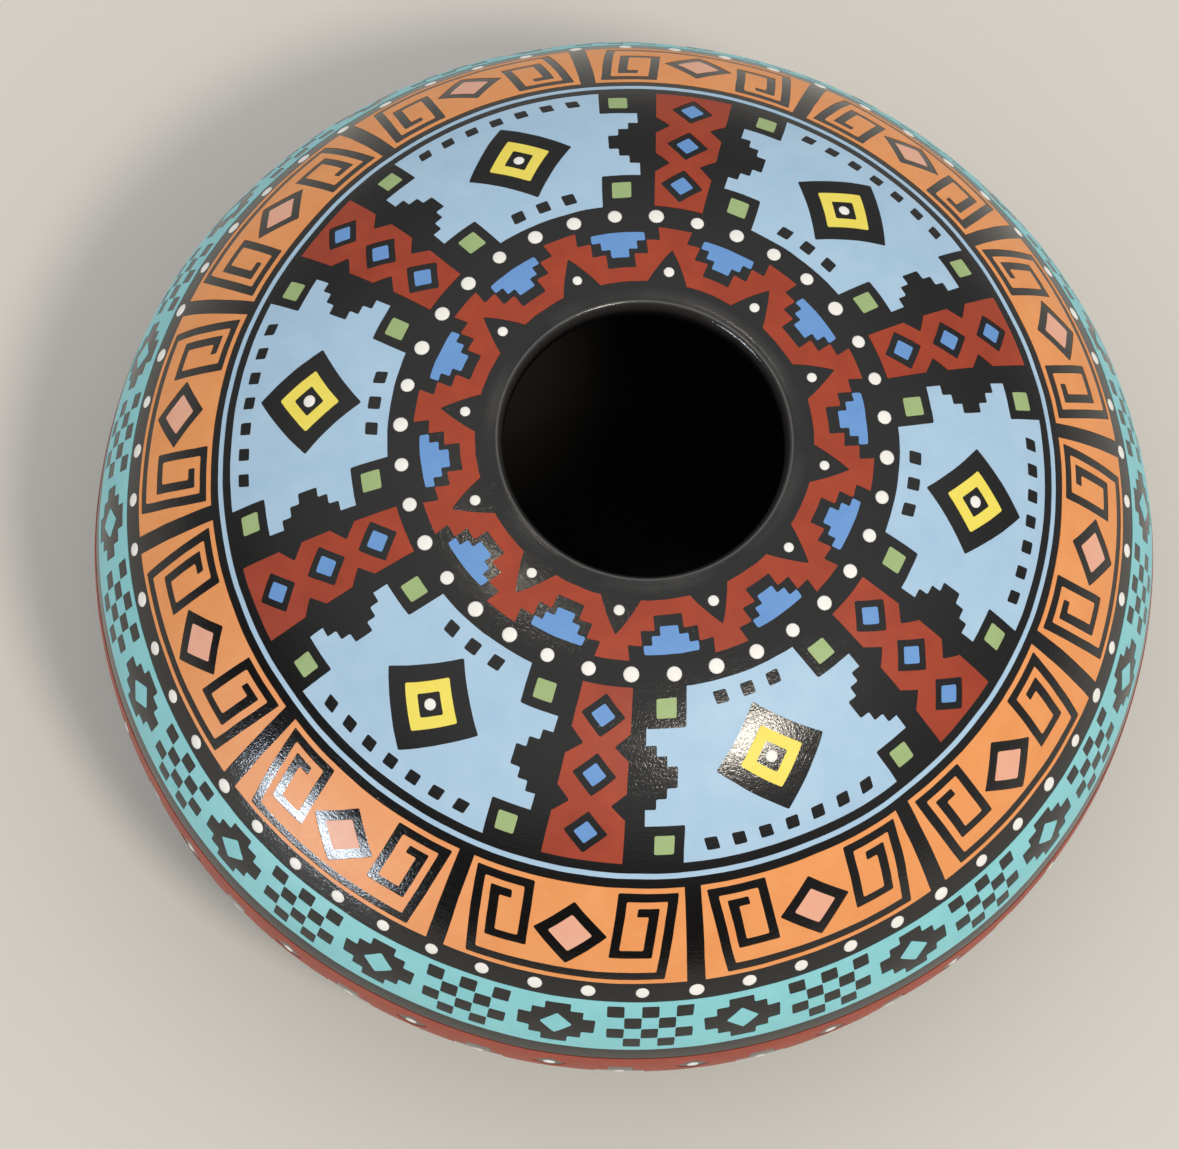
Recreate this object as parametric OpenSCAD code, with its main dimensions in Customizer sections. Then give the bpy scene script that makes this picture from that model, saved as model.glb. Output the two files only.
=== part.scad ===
// Coil-built seed pot: a low, wide, burnished black jar with a small mouth and matte painted registers.
// The pot stands on z = 0 with its axis on Z. The wall's section is drawn in the half plane of
// radius and height as four tangent arcs, each used with the direction of its outward normal:
// 0 points straight out at the belly, 90 straight up at the mouth, and negative angles point down.

/* [Pot] */
// Widest outside diameter, at the belly
belly_d = 260; // [240:1:290]
// Height of the lip above the table
pot_h = 144; // [136:1:156]
// Height of the widest level above the table
belly_z = 66; // [60:1:70]
// Clear diameter of the mouth
mouth_d = 64; // [50:1:80]
// Diameter of the flat foot
foot_d = 100; // [84:1:112]
// Thickness of the wall
wall_t = 6; // [4:0.5:8]
// Thickness of the floor above the table
floor_t = 8; // [6:0.5:12]

/* [Curves] */
// Radius of the wall's section just above the widest level
shoulder_r = 54; // [46:1:60]
// Radius of the wall's section just below the widest level
underbelly_r = 47; // [42:1:52]
// Radius of the lip's upper edge
lip_r = 1.8; // [1:0.1:2]
// Depth of the hollow under the foot
hollow_depth = 1.6; // [0.6:0.2:3]
// Width of the ring that the pot stands on
foot_ring_w = 8; // [5:1:14]

/* [Coils] */
// Length of wall that the base slab covers, from the foot up to the first coil
slab_rise = 32; // [24:1:40]
// Length of wall that the rim coil covers, below the lip
rim_rise = 12; // [8:1:16]
// Slant of the joints between coils, from square across the wall
joint_slant = 35; // [0:1:45]

/* [Paint] */
// Thickness of the paint
paint_t = 0.2; // [0.1:0.05:0.4]
// Width of the bare black ring round the mouth
bare_ring_w = 6.5; // [5:0.5:9]
// Width of the red collar outside the bare ring
collar_w = 14; // [10:1:18]
// Width of the register of sky blue and red panels
panel_w = 40; // [36:1:44]
// Width of the register of orange panels
orange_w = 26; // [22:1:30]
// Width of the turquoise register
turquoise_w = 19; // [15:1:23]
// Width of the red hem at the widest level
hem_w = 24; // [18:1:28]
// Width of the black bands between registers
band_w = 6; // [5:0.5:8]
// Width of the black bars between panels
bar_w = 4; // [2.5:0.5:5]
// Width of the red pillars between the sky blue panels
pillar_w = 15; // [12:1:18]
// Width of the coloured lines in the black bands
line_w = 1.3; // [0.8:0.1:2]
// Diameter of the white dots
dot_d = 3.4; // [2.4:0.2:4]
// Number of sky blue panels
panel_count = 6; // [4:1:7]
// Number of orange panels
orange_count = 12; // [8:1:14]
// Number of dots in the band below the collar
inner_dots = 36; // [18:1:42]
// Number of dots in the band below the orange panels
outer_dots = 60; // [40:1:80]

/* [Motifs] */
// Width and height of the black diamond in a sky blue panel
large_diamond = 26; // [20:1:30]
// Size of the yellow diamond inside it
yellow_diamond = 15; // [10:1:18]
// Size of the black diamonds in a red pillar
small_diamond = 10; // [8:0.5:11]
// Size of the cobalt diamonds inside them
cobalt_diamond = 5.5; // [3:0.5:6]
// Number of diamonds in a red pillar
pillar_diamonds = 3; // [2:1:3]
// Size of the black diamond in an orange panel
orange_diamond = 17; // [12:1:20]
// Size of the pink diamond inside it
pink_diamond = 10; // [6:1:11]
// Side of the black corner blocks of a sky blue panel
corner_block = 9; // [7:0.5:10]
// Side of the green squares in the corner blocks
green_square = 4.5; // [2.5:0.5:5]

/* [Hidden] */
$fn = 96;
coil_count = 8;

clay = "#2f2e2d";
belly_r = belly_d / 2;
foot_r = foot_d / 2;

// The lip: its under edge takes up the rest of the wall, and reaches in to the clear mouth.
lip_reach = wall_t - lip_r;
crown_end = [mouth_d / 2 + lip_reach, pot_h];

// The shoulder and the underbelly meet at the widest level, where the wall stands upright.
shoulder_c = [belly_r - shoulder_r, belly_z];
underbelly_c = [belly_r - underbelly_r, belly_z];

// The crown is tangent to the shoulder and level where the lip begins.
crown_run = shoulder_c.x - crown_end.x;
crown_rise = pot_h - belly_z;
crown_r = (crown_run ^ 2 + crown_rise ^ 2 - shoulder_r ^ 2) / (2 * (crown_rise - shoulder_r));
crown_c = [crown_end.x, pot_h - crown_r];
crown_angle = atan2(shoulder_c.y - crown_c.y, shoulder_c.x - crown_c.x);

// The bowl is centred on the axis, tangent to the underbelly and passes through the foot's edge,
// which gives a quadratic for the height of its centre.
bowl_k = foot_r ^ 2 + underbelly_r ^ 2 - underbelly_c.x ^ 2 - belly_z ^ 2;
bowl_a = 4 * (belly_z ^ 2 - underbelly_r ^ 2);
bowl_b = 4 * bowl_k * belly_z;
bowl_q = bowl_k ^ 2 - 4 * underbelly_r ^ 2 * foot_r ^ 2;
bowl_c = [0, (sqrt(bowl_b ^ 2 - 4 * bowl_a * bowl_q) - bowl_b) / (2 * bowl_a)];
bowl_r = norm([foot_r, bowl_c.y]);
bowl_angle = atan2(underbelly_c.y - bowl_c.y, underbelly_c.x);
foot_angle = atan2(-bowl_c.y, foot_r);

// The wall's arcs from the foot up: centre, radius, first and last angle.
arcs = [
    [bowl_c, bowl_r, foot_angle, bowl_angle],
    [underbelly_c, underbelly_r, bowl_angle, 0],
    [shoulder_c, shoulder_r, 0, crown_angle],
    [crown_c, crown_r, crown_angle, 90],
];

// Length along the outside of the wall, from the foot's edge to the start of an arc
function arc_length(arc) = arc[1] * (arc[3] - arc[2]) * PI / 180;
function length_to(i) = i == 0 ? 0 : length_to(i - 1) + arc_length(arcs[i - 1]);
wall_length = length_to(len(arcs));

// Angle of the outward normal at a length from the foot's edge
function arc_index(s) = s < length_to(1) ? 0 : s < length_to(2) ? 1 : s < length_to(3) ? 2 : 3;
function angle_at(s) = let (i = arc_index(s)) arcs[i][2] + (s - length_to(i)) / arcs[i][1] * 180 / PI;

// Point of the section at a length from the foot's edge and a depth below the outside
function direction(angle) = [cos(angle), sin(angle)];
function wall_point(s, depth = 0) =
    let (arc = arcs[arc_index(s)]) arc[0] + (arc[1] - depth) * direction(angle_at(s));

// Lengths from the foot's edge at which the coils meet
coil_h = (wall_length - slab_rise - rim_rise) / coil_count;
function joint_s(i) = slab_rise + i * coil_h;

// One end of a line across the wall at a length, turned by a slant about the middle of the wall
cross_half = 1.5 * wall_t;
function cross_end(s, side, slant) =
    wall_point(s, wall_t / 2) + side * cross_half * direction(angle_at(s) + slant);

// Lengths below the crown's upper end at which each painted register starts
collar_d = bare_ring_w - lip_reach;
panel_d = collar_d + collar_w + band_w;
orange_d = panel_d + panel_w + band_w;
turquoise_d = orange_d + orange_w + band_w;
hem_d = turquoise_d + turquoise_w + band_w;
last_line_d = hem_d + hem_w + band_w / 2;

// Angles that the panels span, from their widths at the middle of their register
function span_of(w, d) = w / wall_point(wall_length - d).x * 180 / PI;
panel_pitch = 360 / panel_count;
panel_mid_d = panel_d + panel_w / 2;
pillar_span = span_of(pillar_w, panel_mid_d);
panel_span = panel_pitch - pillar_span - 2 * span_of(bar_w, panel_mid_d);
orange_pitch = 360 / orange_count;
orange_mid_d = orange_d + orange_w / 2;
orange_span = orange_pitch - span_of(bar_w, orange_mid_d);

// Depth to each side of the wall's outside that cutting shapes reach
stamp_depth = wall_t / 2;

// A slice of a disc between two directions from its centre
module pie(centre, r, low, high) {
    reach = 2 * belly_d;
    intersection() {
        translate(centre) circle(r);
        polygon([centre, centre + reach * direction(low), centre + reach * direction(high)]);
    }
}

// The part of the section that lies deeper than a depth below the outside, above the widest level
module inside_above(depth) {
    translate(shoulder_c) circle(shoulder_r - depth);
    pie(crown_c, crown_r - depth, crown_angle, 90);
}

// The same below the widest level
module inside_below(depth) {
    translate(underbelly_c) circle(underbelly_r - depth);
    pie(bowl_c, bowl_r - depth, -90, bowl_angle);
}

// A layer that follows the wall between two depths, and between two lengths from the foot's edge
module layer(s0, s1, outer, inner, slant = 0) {
    intersection() {
        union() {
            intersection() {
                difference() {
                    inside_above(outer);
                    inside_above(inner);
                }
                translate([0, belly_z]) square([belly_d, pot_h]);
            }
            intersection() {
                difference() {
                    inside_below(outer);
                    inside_below(inner);
                }
                square([belly_d, belly_z]);
            }
        }
        polygon([
            cross_end(s0, -1, slant),
            cross_end(s0, 1, slant),
            cross_end(s1, 1, slant),
            cross_end(s1, -1, slant),
        ]);
    }
}

// The slab pressed in a shallow mould: floor, hollow foot and the start of the wall
module base_slab() {
    joint_in = cross_end(joint_s(0), -1, joint_slant);
    joint_out = cross_end(joint_s(0), 1, joint_slant);
    hollow_r = foot_r - foot_ring_w;
    hollow_sphere_r = (hollow_r ^ 2 + hollow_depth ^ 2) / (2 * hollow_depth);
    color(clay) rotate_extrude() difference() {
        intersection() {
            translate(bowl_c) circle(bowl_r);
            polygon([[0, 0], [joint_out.x, 0], joint_out, joint_in, [0, joint_in.y]]);
        }
        intersection() {
            translate(bowl_c) circle(bowl_r - wall_t);
            translate([0, floor_t]) square([belly_r, pot_h]);
        }
        translate([0, hollow_depth - hollow_sphere_r]) circle(hollow_sphere_r);
    }
}

// A rope of clay pinched up and thinned into a ring of wall, overlapping the one below on the inside
module wall_coil(i) {
    color(clay) rotate_extrude() layer(joint_s(i - 1), joint_s(i), 0, wall_t, joint_slant);
}

// The last rope, smoothed into the lip: a tight upper edge and a soft under edge
module rim_coil() {
    joint_in = cross_end(joint_s(coil_count), -1, joint_slant);
    joint_out = cross_end(joint_s(coil_count), 1, joint_slant);
    color(clay) rotate_extrude() {
        intersection() {
            difference() {
                inside_above(0);
                inside_above(wall_t);
            }
            polygon([joint_in, joint_out, crown_end + [0, wall_t], crown_end - [0, 2 * wall_t]]);
        }
        translate(crown_end - [0, lip_r]) {
            intersection() {
                circle(lip_reach);
                translate([-lip_reach, -lip_reach]) square(lip_reach);
            }
            translate([lip_r - lip_reach, 0]) square([lip_reach - lip_r, lip_r]);
            translate([lip_r - lip_reach, 0]) intersection() {
                circle(lip_r);
                translate([-lip_r, 0]) square(lip_r);
            }
        }
    }
}

// A coat of paint between two lengths below the crown's upper end, all round the pot
module coat(d, w) {
    rotate_extrude() layer(wall_length - d - w, wall_length - d, -paint_t, 0);
}

// The same coat over part of the way round, or a thicker block to cut one with
module sector(d, w, middle, span, outer = -paint_t, inner = 0) {
    rotate_extrude(angle = span, start = middle - span / 2)
        layer(wall_length - d - w, wall_length - d, outer, inner);
}

// Sets a shape on the wall at a length below the crown's upper end, its X down the wall and its Z outward
module on_wall(d, turn) {
    s = wall_length - d;
    rotate([0, 0, turn])
        translate([wall_point(s).x, 0, wall_point(s).y])
            rotate([0, 90 - angle_at(s), 0]) children();
}

// A flat outline run through the coat, to cut it out or to keep only what is inside
module stamp(d, turn) {
    on_wall(d, turn) translate([0, 0, -stamp_depth]) linear_extrude(2 * stamp_depth) children();
}

module diamond(size) {
    polygon([[-size / 2, 0], [0, -size / 2], [size / 2, 0], [0, size / 2]]);
}

// One diamond in the middle of each sky blue panel
module panel_diamonds(size) {
    for (i = [0:panel_count - 1]) stamp(panel_mid_d, i * panel_pitch) diamond(size);
}

// Places down the middle of each red pillar, as length below the crown's upper end and turn
pillar_places = [
    for (i = [0:panel_count - 1], j = [0:pillar_diamonds - 1])
        [panel_d + (j + 0.5) * panel_w / pillar_diamonds, (i + 0.5) * panel_pitch]
];

// One diamond in the middle of each orange panel
module orange_diamonds(size) {
    for (i = [0:orange_count - 1]) stamp(orange_mid_d, i * orange_pitch) diamond(size);
}

// A square in each corner of the sky blue panels, set in from both edges
module corner_squares(size, inset, outer, inner) {
    for (i = [0:panel_count - 1], side = [-1, 1], d = [panel_d + inset, panel_d + panel_w - inset - size]) {
        middle_d = d + size / 2;
        turn = i * panel_pitch + side * (panel_span / 2 - span_of(inset + size / 2, middle_d));
        sector(d, size, turn, span_of(size, middle_d), outer, inner);
    }
}

module paint_red() {
    color("#ac462c") {
        coat(collar_d, collar_w);
        difference() {
            for (i = [0:panel_count - 1]) sector(panel_d, panel_w, (i + 0.5) * panel_pitch, pillar_span);
            for (place = pillar_places) stamp(place[0], place[1]) diamond(small_diamond);
        }
        coat(hem_d, hem_w);
    }
}

module paint_sky_blue() {
    color("#aecee8") {
        difference() {
            for (i = [0:panel_count - 1]) sector(panel_d, panel_w, i * panel_pitch, panel_span);
            panel_diamonds(large_diamond);
            corner_squares(corner_block + bar_w, -bar_w, -stamp_depth, stamp_depth);
        }
        coat(orange_d - (band_w + line_w) / 2, line_w);
    }
}

module paint_orange() {
    color("#ee9b5c") difference() {
        for (i = [0:orange_count - 1]) sector(orange_d, orange_w, i * orange_pitch, orange_span);
        orange_diamonds(orange_diamond);
    }
}

module paint_turquoise() {
    color("#8fd6dd") coat(turquoise_d, turquoise_w);
}

module paint_cobalt() {
    color("#6e9cd4")
        for (place = pillar_places)
            on_wall(place[0], place[1]) linear_extrude(paint_t) diamond(cobalt_diamond);
}

module paint_yellow() {
    color("#f7e061") {
        intersection() {
            coat(panel_d, panel_w);
            panel_diamonds(yellow_diamond);
        }
        coat(last_line_d - line_w / 2, line_w);
    }
}

module paint_green() {
    color("#a3bc80") corner_squares(green_square, (corner_block - green_square) / 2, -paint_t, 0);
}

module paint_pink() {
    color("#f1b499") intersection() {
        coat(orange_d, orange_w);
        orange_diamonds(pink_diamond);
    }
}

// A row of dots round the middle of the black band above a register
module dot_row(d, count) {
    for (i = [0:count - 1])
        on_wall(d - band_w / 2, (i + 0.5) * 360 / count) cylinder(h = paint_t, d = dot_d);
}

module paint_white() {
    color("#fbfaf7") {
        dot_row(panel_d, inner_dots);
        dot_row(turquoise_d, outer_dots);
    }
}

base_slab();
for (i = [1:coil_count]) wall_coil(i);
rim_coil();
paint_red();
paint_sky_blue();
paint_orange();
paint_turquoise();
paint_cobalt();
paint_yellow();
paint_green();
paint_pink();
paint_white();
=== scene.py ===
import math

import bpy
import numpy as np
from mathutils import Matrix, Vector
from mathutils.geometry import delaunay_2d_cdt


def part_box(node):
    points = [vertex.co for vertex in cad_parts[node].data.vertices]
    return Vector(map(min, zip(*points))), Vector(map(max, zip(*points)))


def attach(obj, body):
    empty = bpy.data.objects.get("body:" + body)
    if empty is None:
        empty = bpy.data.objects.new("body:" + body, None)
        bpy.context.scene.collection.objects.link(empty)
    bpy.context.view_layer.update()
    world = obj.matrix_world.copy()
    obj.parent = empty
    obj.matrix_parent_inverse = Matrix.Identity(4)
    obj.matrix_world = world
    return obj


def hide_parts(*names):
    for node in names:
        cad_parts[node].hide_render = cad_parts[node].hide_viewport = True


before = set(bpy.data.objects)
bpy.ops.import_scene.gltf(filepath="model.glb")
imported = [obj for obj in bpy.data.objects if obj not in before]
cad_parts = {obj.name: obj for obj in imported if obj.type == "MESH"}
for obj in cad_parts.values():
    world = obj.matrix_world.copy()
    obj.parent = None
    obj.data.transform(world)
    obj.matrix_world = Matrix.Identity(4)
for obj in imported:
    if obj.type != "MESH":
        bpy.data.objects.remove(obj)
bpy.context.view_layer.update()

# Base slab. A pancake of clay pressed in a shallow mould gives the floor, the hollow foot and the start
# of the wall. It is scraped thin, coated with black slip and rubbed with a smooth stone until it shines,
# and inside it stays as the fingers and the smoke of the firing left it.
belly_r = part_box("wall_coil_4")[1].x
belly_z = 0.066
pot_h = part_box("rim_coil")[1].z
mouth_r = 0.032
foot_r = 0.050
wall_t = 0.006
floor_t = 0.008
shoulder_r = 0.054
underbelly_r = 0.047
lip_r = 0.0018
hollow_depth = 0.0016
foot_ring_w = 0.008
floor_corner = 0.004
slab_rise = 0.032
rim_rise = 0.012
joint_slant = math.radians(35)
coil_count = 8
steps_round = 480


def outward(angle):
    """Unit direction in the half plane of radius and height."""
    return np.array([math.cos(angle), math.sin(angle)])


# The wall's section is four tangent arcs. The crown ends level where the lip begins, the shoulder and
# the underbelly meet upright at the belly, and the bowl is centred on the axis and passes the foot's edge.
lip_reach = wall_t - lip_r
crown_end = np.array([mouth_r + lip_reach, pot_h])
shoulder_c = np.array([belly_r - shoulder_r, belly_z])
underbelly_c = np.array([belly_r - underbelly_r, belly_z])
crown_run, crown_rise = shoulder_c[0] - crown_end[0], pot_h - belly_z
crown_r = (crown_run**2 + crown_rise**2 - shoulder_r**2) / (2 * (crown_rise - shoulder_r))
crown_c = crown_end - [0, crown_r]
crown_angle = math.atan2(*(shoulder_c - crown_c)[::-1])
bowl_k = foot_r**2 + underbelly_r**2 - underbelly_c[0] ** 2 - belly_z**2
bowl_a = 4 * (belly_z**2 - underbelly_r**2)
bowl_b = 4 * bowl_k * belly_z
bowl_q = bowl_k**2 - 4 * underbelly_r**2 * foot_r**2
bowl_c = np.array([0, (math.sqrt(bowl_b**2 - 4 * bowl_a * bowl_q) - bowl_b) / (2 * bowl_a)])
bowl_r = math.hypot(foot_r, bowl_c[1])
bowl_angle = math.atan2(*(underbelly_c - bowl_c)[::-1])
foot_angle = math.atan2(-bowl_c[1], foot_r)
wall_arcs = [
    (bowl_c, bowl_r, foot_angle, bowl_angle),
    (underbelly_c, underbelly_r, bowl_angle, 0.0),
    (shoulder_c, shoulder_r, 0.0, crown_angle),
    (crown_c, crown_r, crown_angle, math.pi / 2),
]
arc_starts = np.cumsum([0.0] + [radius * (last - first) for _, radius, first, last in wall_arcs])
wall_length = arc_starts[-1]
coil_h = (wall_length - slab_rise - rim_rise) / coil_count
joint_shift = wall_t / 2 * math.tan(joint_slant)


def wall_point(s, depth=0.0):
    """Radius and height at a length from the foot's edge, and a depth below the outside."""
    index = min(max(int(np.searchsorted(arc_starts, s, side="right")) - 1, 0), len(wall_arcs) - 1)
    centre, radius, first, _ = wall_arcs[index]
    return centre + (radius - depth) * outward(first + (s - arc_starts[index]) / radius)


def burnished_face(s0, s1, segments=32):
    """Points up the outside, closer towards its ends, so that the gloss runs on across the joints."""
    shares = (1 - np.cos(np.linspace(0, math.pi, segments + 1))) / 2
    return [wall_point(s0 + share * (s1 - s0)) for share in shares]


def linear(hex_colour):
    """An sRGB hex colour as linear RGBA."""
    channels = [int(hex_colour[i : i + 2], 16) / 255 for i in (1, 3, 5)]
    return [c / 12.92 if c <= 0.04045 else ((c + 0.055) / 1.055) ** 2.4 for c in channels] + [1.0]


def add(tree, kind, inputs=None, **settings):
    """Adds one node, with its settings, and links or sets its inputs."""
    node = tree.nodes.new(kind)
    for name, value in settings.items():
        setattr(node, name, value)
    for key, value in (inputs or {}).items():
        if isinstance(value, bpy.types.NodeSocket):
            tree.links.new(value, node.inputs[key])
        else:
            node.inputs[key].default_value = value
    return node


def new_tree(name, inputs):
    """A Geometry Nodes tree with a geometry in and out and named inputs, and what comes in."""
    tree = bpy.data.node_groups.new(name, "GeometryNodeTree")
    tree.interface.new_socket("Geometry", in_out="INPUT", socket_type="NodeSocketGeometry")
    tree.interface.new_socket("Geometry", in_out="OUTPUT", socket_type="NodeSocketGeometry")
    for label, kind in inputs.items():
        tree.interface.new_socket(label, in_out="INPUT", socket_type="NodeSocket" + kind)
    return tree, add(tree, "NodeGroupInput").outputs


def finish_tree(tree, shape, material, sharp_angle=None):
    """Ends a tree with smooth shading, broken at edges sharper than an angle, and with the material."""
    shape = add(tree, "GeometryNodeSetShadeSmooth", {"Geometry": shape, "Shade Smooth": True}).outputs[0]
    if sharp_angle:
        bend = add(tree, "GeometryNodeInputMeshEdgeAngle").outputs["Unsigned Angle"]
        soft = add(tree, "FunctionNodeCompare", {0: bend, 1: sharp_angle}, operation="LESS_THAN").outputs[0]
        smoothing = {"Geometry": shape, "Shade Smooth": soft}
        shape = add(tree, "GeometryNodeSetShadeSmooth", smoothing, domain="EDGE").outputs[0]
    shape = add(tree, "GeometryNodeRealizeInstances", {"Geometry": shape}).outputs[0]
    shape = add(tree, "GeometryNodeSetMaterial", {"Geometry": shape, "Material": material}).outputs[0]
    add(tree, "NodeGroupOutput", {0: shape})


def grown(name, mesh, tree, values):
    """A piece whose plain mesh is what a tree makes of a starting mesh."""
    piece = bpy.data.objects.new(name, mesh)
    bpy.context.scene.collection.objects.link(piece)
    modifier = piece.modifiers.new(name, "NODES")
    modifier.node_group = tree
    for socket in tree.interface.items_tree:
        if socket.in_out == "INPUT" and socket.name in values:
            modifier[socket.identifier] = values[socket.name]
    depsgraph = bpy.context.evaluated_depsgraph_get()
    made = bpy.data.meshes.new_from_object(
        piece.evaluated_get(depsgraph), preserve_all_data_layers=True, depsgraph=depsgraph
    )
    piece.modifiers.remove(modifier)
    piece.data = made
    made.name = name
    return piece


# Hands never leave a true circle: slow waves in the wall, worked out from the place alone, so that every
# rope and every coat of paint moves alike. They fade out at the foot, which stays flat. Noise keeps near
# the middle of its range, so it is stretched to swing by about one wave height.
flat_foot_h = 0.020
noise_stretch = 2.0
shaping_values = {"Wave Height": 0.00035, "Wave Length": 0.060, "Middle": (0, 0, belly_z)}
shaping_sockets = {"Wave Height": "Float", "Wave Length": "Float", "Middle": "Vector"}
hand_shaping, given = new_tree("hand_shaping", shaping_sockets)
tree = hand_shaping
place = add(tree, "GeometryNodeInputPosition").outputs[0]
wave_scale = add(tree, "ShaderNodeMath", {0: 1.0, 1: given["Wave Length"]}, operation="DIVIDE").outputs[0]
wave = add(tree, "ShaderNodeTexNoise", {"Vector": place, "Scale": wave_scale, "Detail": 1.0}).outputs[0]
away = add(tree, "ShaderNodeVectorMath", {0: place, 1: given["Middle"]}, operation="SUBTRACT").outputs[0]
away = add(tree, "ShaderNodeVectorMath", {0: away}, operation="NORMALIZE").outputs[0]
height = add(tree, "ShaderNodeSeparateXYZ", {0: place}).outputs["Z"]
lifted = add(tree, "ShaderNodeMapRange", {"Value": height, "From Max": flat_foot_h}).outputs[0]
stretched = {"Value": wave, "To Min": -noise_stretch, "To Max": noise_stretch}
swing = add(tree, "ShaderNodeMapRange", stretched).outputs[0]
reach = add(tree, "ShaderNodeMath", {0: swing, 1: lifted}, operation="MULTIPLY").outputs[0]
reach = add(tree, "ShaderNodeMath", {0: reach, 1: given["Wave Height"]}, operation="MULTIPLY").outputs[0]
shift = add(tree, "ShaderNodeVectorMath", {0: away, "Scale": reach}, operation="SCALE").outputs[0]
shaped = add(tree, "GeometryNodeSetPosition", {"Geometry": given["Geometry"], "Offset": shift}).outputs[0]
add(tree, "NodeGroupOutput", {0: shaped})

# The section carried round the axis: each column of a grid takes the section's points, turned one step
# more. The last column lies on the first, and the two are merged.
seam_gap = 1e-6
sharp_angle = math.radians(35)
ring_sockets = {"Steps Round": "Int"} | shaping_sockets | {"Material": "Material"}
ring_of_clay, given = new_tree("ring_of_clay", ring_sockets)
tree = ring_of_clay
count = add(tree, "GeometryNodeAttributeDomainSize", {0: given["Geometry"]}).outputs["Point Count"]
columns = add(tree, "ShaderNodeMath", {0: given["Steps Round"], 1: 1.0}, operation="ADD").outputs[0]
sheet = add(tree, "GeometryNodeMeshGrid", {"Vertices X": columns, "Vertices Y": count}).outputs[0]
index = add(tree, "GeometryNodeInputIndex").outputs[0]
column = add(tree, "ShaderNodeMath", {0: index, 1: count}, operation="DIVIDE").outputs[0]
column = add(tree, "ShaderNodeMath", {0: column}, operation="FLOOR").outputs[0]
row = add(tree, "ShaderNodeMath", {0: index, 1: count}, operation="MODULO").outputs[0]
step = add(tree, "ShaderNodeMath", {0: math.tau, 1: given["Steps Round"]}, operation="DIVIDE").outputs[0]
angle = add(tree, "ShaderNodeMath", {0: step, 1: column}, operation="MULTIPLY").outputs[0]
point = add(tree, "GeometryNodeInputPosition").outputs[0]
sampled = {"Geometry": given["Geometry"], "Value": point, "Index": row}
point = add(tree, "GeometryNodeSampleIndex", sampled, data_type="FLOAT_VECTOR").outputs[0]
carried = {"Vector": point, "Angle": angle}
point = add(tree, "ShaderNodeVectorRotate", carried, rotation_type="Z_AXIS").outputs[0]
ring = add(tree, "GeometryNodeSetPosition", {"Geometry": sheet, "Position": point}).outputs[0]
for label in ("burnished", "along"):
    mark = add(tree, "GeometryNodeInputNamedAttribute", {"Name": label}, data_type="FLOAT").outputs[0]
    sampled = {"Geometry": given["Geometry"], "Value": mark, "Index": row}
    mark = add(tree, "GeometryNodeSampleIndex", sampled, data_type="FLOAT").outputs[0]
    stored = {"Geometry": ring, "Name": label, "Value": mark}
    ring = add(
        tree, "GeometryNodeStoreNamedAttribute", stored, data_type="FLOAT", domain="POINT"
    ).outputs[0]
ring = add(tree, "GeometryNodeMergeByDistance", {"Geometry": ring, "Distance": seam_gap}).outputs[0]
shaping = {label: given[label] for label in shaping_sockets} | {"Geometry": ring}
ring = add(tree, "GeometryNodeGroup", shaping, node_tree=hand_shaping).outputs[0]
finish_tree(tree, ring, given["Material"], sharp_angle)

# Burnished black slip: fine clay rubbed with a stone while leather-hard, then smoke-fired black. It shines
# like satin. The stone's strokes run round the pot, and the skin is finely crinkled, so that every
# highlight breaks into flecks. Real strokes and crinkles are too fine to show, so they are drawn as coarse
# as they need to be. The inside, out of the stone's reach, stays dull and brown with smoke.
stroke_length, stroke_width, crinkle_size, cloud_size = 0.006, 0.0007, 0.00064, 0.030
crinkle_depth, crinkle_share = 0.00005, 0.85
stroke_depth, stroke_share = 0.00004, 0.4
brightest_sheen, dullest_sheen, smoked_roughness = 0.11, 0.19, 0.85
noise_low, noise_high = 0.3, 0.7
middle_r = 0.1
slip_ior = 1.5
slip = bpy.data.materials.new("burnished_black_slip")
slip.use_nodes = True
tree = slip.node_tree
surface = tree.nodes["Principled BSDF"]
burnished = add(tree, "ShaderNodeAttribute", attribute_name="burnished").outputs["Fac"]
along = add(tree, "ShaderNodeAttribute", attribute_name="along").outputs["Fac"]
spot = add(tree, "ShaderNodeTexCoord").outputs["Object"]
heading = add(tree, "ShaderNodeVectorMath", {0: spot, 1: (1, 1, 0)}, operation="MULTIPLY").outputs[0]
heading = add(tree, "ShaderNodeVectorMath", {0: heading}, operation="NORMALIZE").outputs[0]
lane = add(tree, "ShaderNodeMath", {0: along, 1: 1 / stroke_width}, operation="MULTIPLY").outputs[0]
lane = add(tree, "ShaderNodeCombineXYZ", {"Z": lane}).outputs[0]
track = {0: heading, 1: [middle_r / stroke_length] * 3, 2: lane}
track = add(tree, "ShaderNodeVectorMath", track, operation="MULTIPLY_ADD").outputs[0]
strokes = {"Vector": track, "Scale": 1.0, "Detail": 3.0, "Distortion": 0.4}
strokes = add(tree, "ShaderNodeTexNoise", strokes).outputs[0]
crinkles = {"Vector": spot, "Scale": 1 / crinkle_size, "Detail": 2.0, "Distortion": 0.8}
crinkles = add(tree, "ShaderNodeTexNoise", crinkles).outputs[0]
clouds = add(tree, "ShaderNodeTexNoise", {"Vector": spot, "Scale": 1 / cloud_size, "Detail": 4.0}).outputs[0]

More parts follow.
